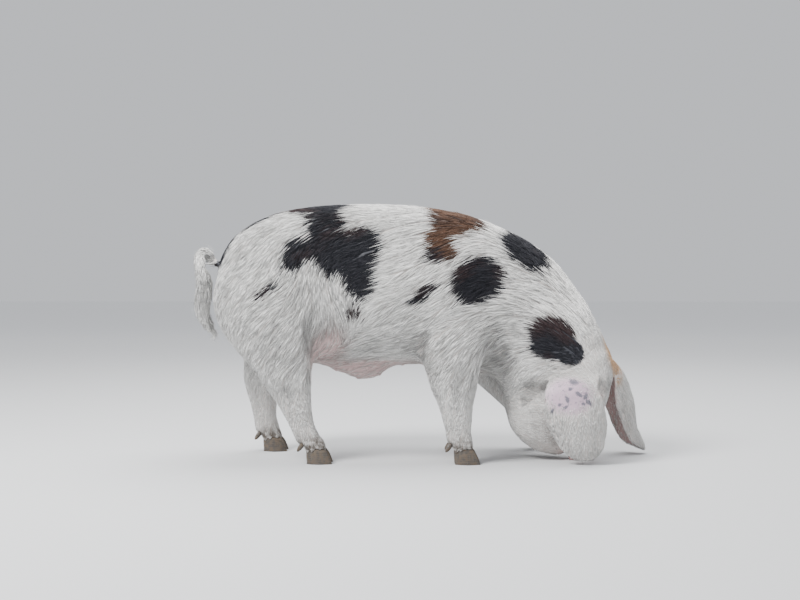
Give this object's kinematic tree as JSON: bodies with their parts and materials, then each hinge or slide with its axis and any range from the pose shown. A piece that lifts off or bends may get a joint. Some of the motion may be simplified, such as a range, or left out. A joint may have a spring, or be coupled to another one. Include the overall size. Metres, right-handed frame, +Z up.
{
  "type": "pig",
  "caption": "Life-size still model of a lop-eared spotted pig that stands with its neck bent down and its snout on the floor, as when rooting.",
  "frame": {"origin": "middle of the model's outline on the floor, under the belly", "axes": "+X towards the head, +Y to the pig's left, +Z up; the floor is z = 0"},
  "size_m": [1.4364, 0.4384, 0.8008],
  "materials": {
    "hide": "coarse white hair over pink skin, with large blue-black patches and one rust-brown patch",
    "ear": "thin pink skin with dark freckles and long white hair towards the tip",
    "snout": "bare moist pink skin with grey mottling",
    "claw": "dark muddy horn",
    "eye": "wet dark brown eye with a clear gloss"
  },
  "bodies": {
    "root": {"trunk": "hide", "neck": "hide", "head": "hide", "tail": "hide", "forearm_right": "hide", "forearm_left": "hide", "shank_right": "hide", "shank_left": "hide", "foot_fore_right": "hide", "foot_fore_left": "hide", "foot_hind_right": "hide", "foot_hind_left": "hide", "ear_right": "ear", "ear_left": "ear", "snout_disc": "snout", "claw_fore_right_right": "claw", "claw_fore_right_left": "claw", "claw_fore_left_right": "claw", "claw_fore_left_left": "claw", "claw_hind_right_right": "claw", "claw_hind_right_left": "claw", "claw_hind_left_right": "claw", "claw_hind_left_left": "claw", "dewclaw_fore_right_right": "claw", "dewclaw_fore_right_left": "claw", "dewclaw_fore_left_right": "claw", "dewclaw_fore_left_left": "claw", "dewclaw_hind_right_right": "claw", "dewclaw_hind_right_left": "claw", "dewclaw_hind_left_right": "claw", "dewclaw_hind_left_left": "claw", "eye_right": "eye", "eye_left": "eye"}
  },
  "joints": []
}
